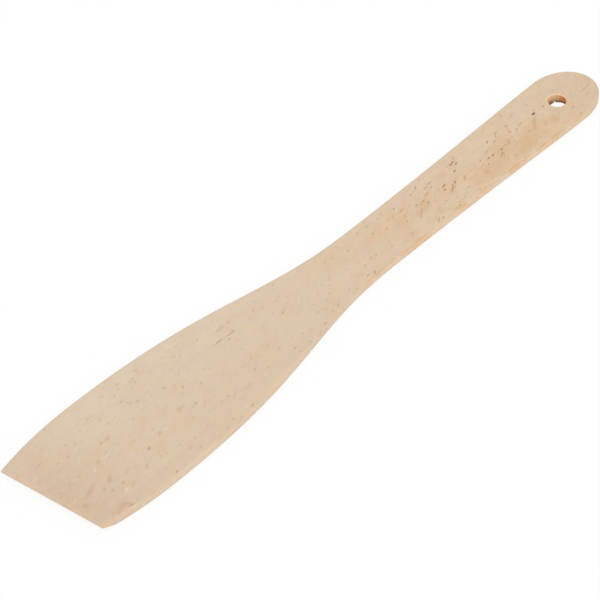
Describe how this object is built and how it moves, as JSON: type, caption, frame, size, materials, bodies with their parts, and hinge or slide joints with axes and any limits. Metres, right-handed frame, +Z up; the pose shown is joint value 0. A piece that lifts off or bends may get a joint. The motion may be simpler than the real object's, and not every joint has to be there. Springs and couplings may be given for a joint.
{
  "type": "wooden spatula",
  "caption": "Flat wooden kitchen spatula with a flared blade, a slanted front edge thinned from below, a waisted handle and a hanging hole in its rounded end.",
  "frame": {"origin": "middle of the bounding box's bottom, on the surface that the spatula lies on", "axes": "+X from the blade's front to the handle's rounded end, +Y across the board, +Z up out of the top face"},
  "size_m": [0.3, 0.0508, 0.004],
  "materials": {
    "beech": "sanded beech, left bare"
  },
  "bodies": {
    "root": {"spatula_body": "beech"}
  },
  "joints": []
}
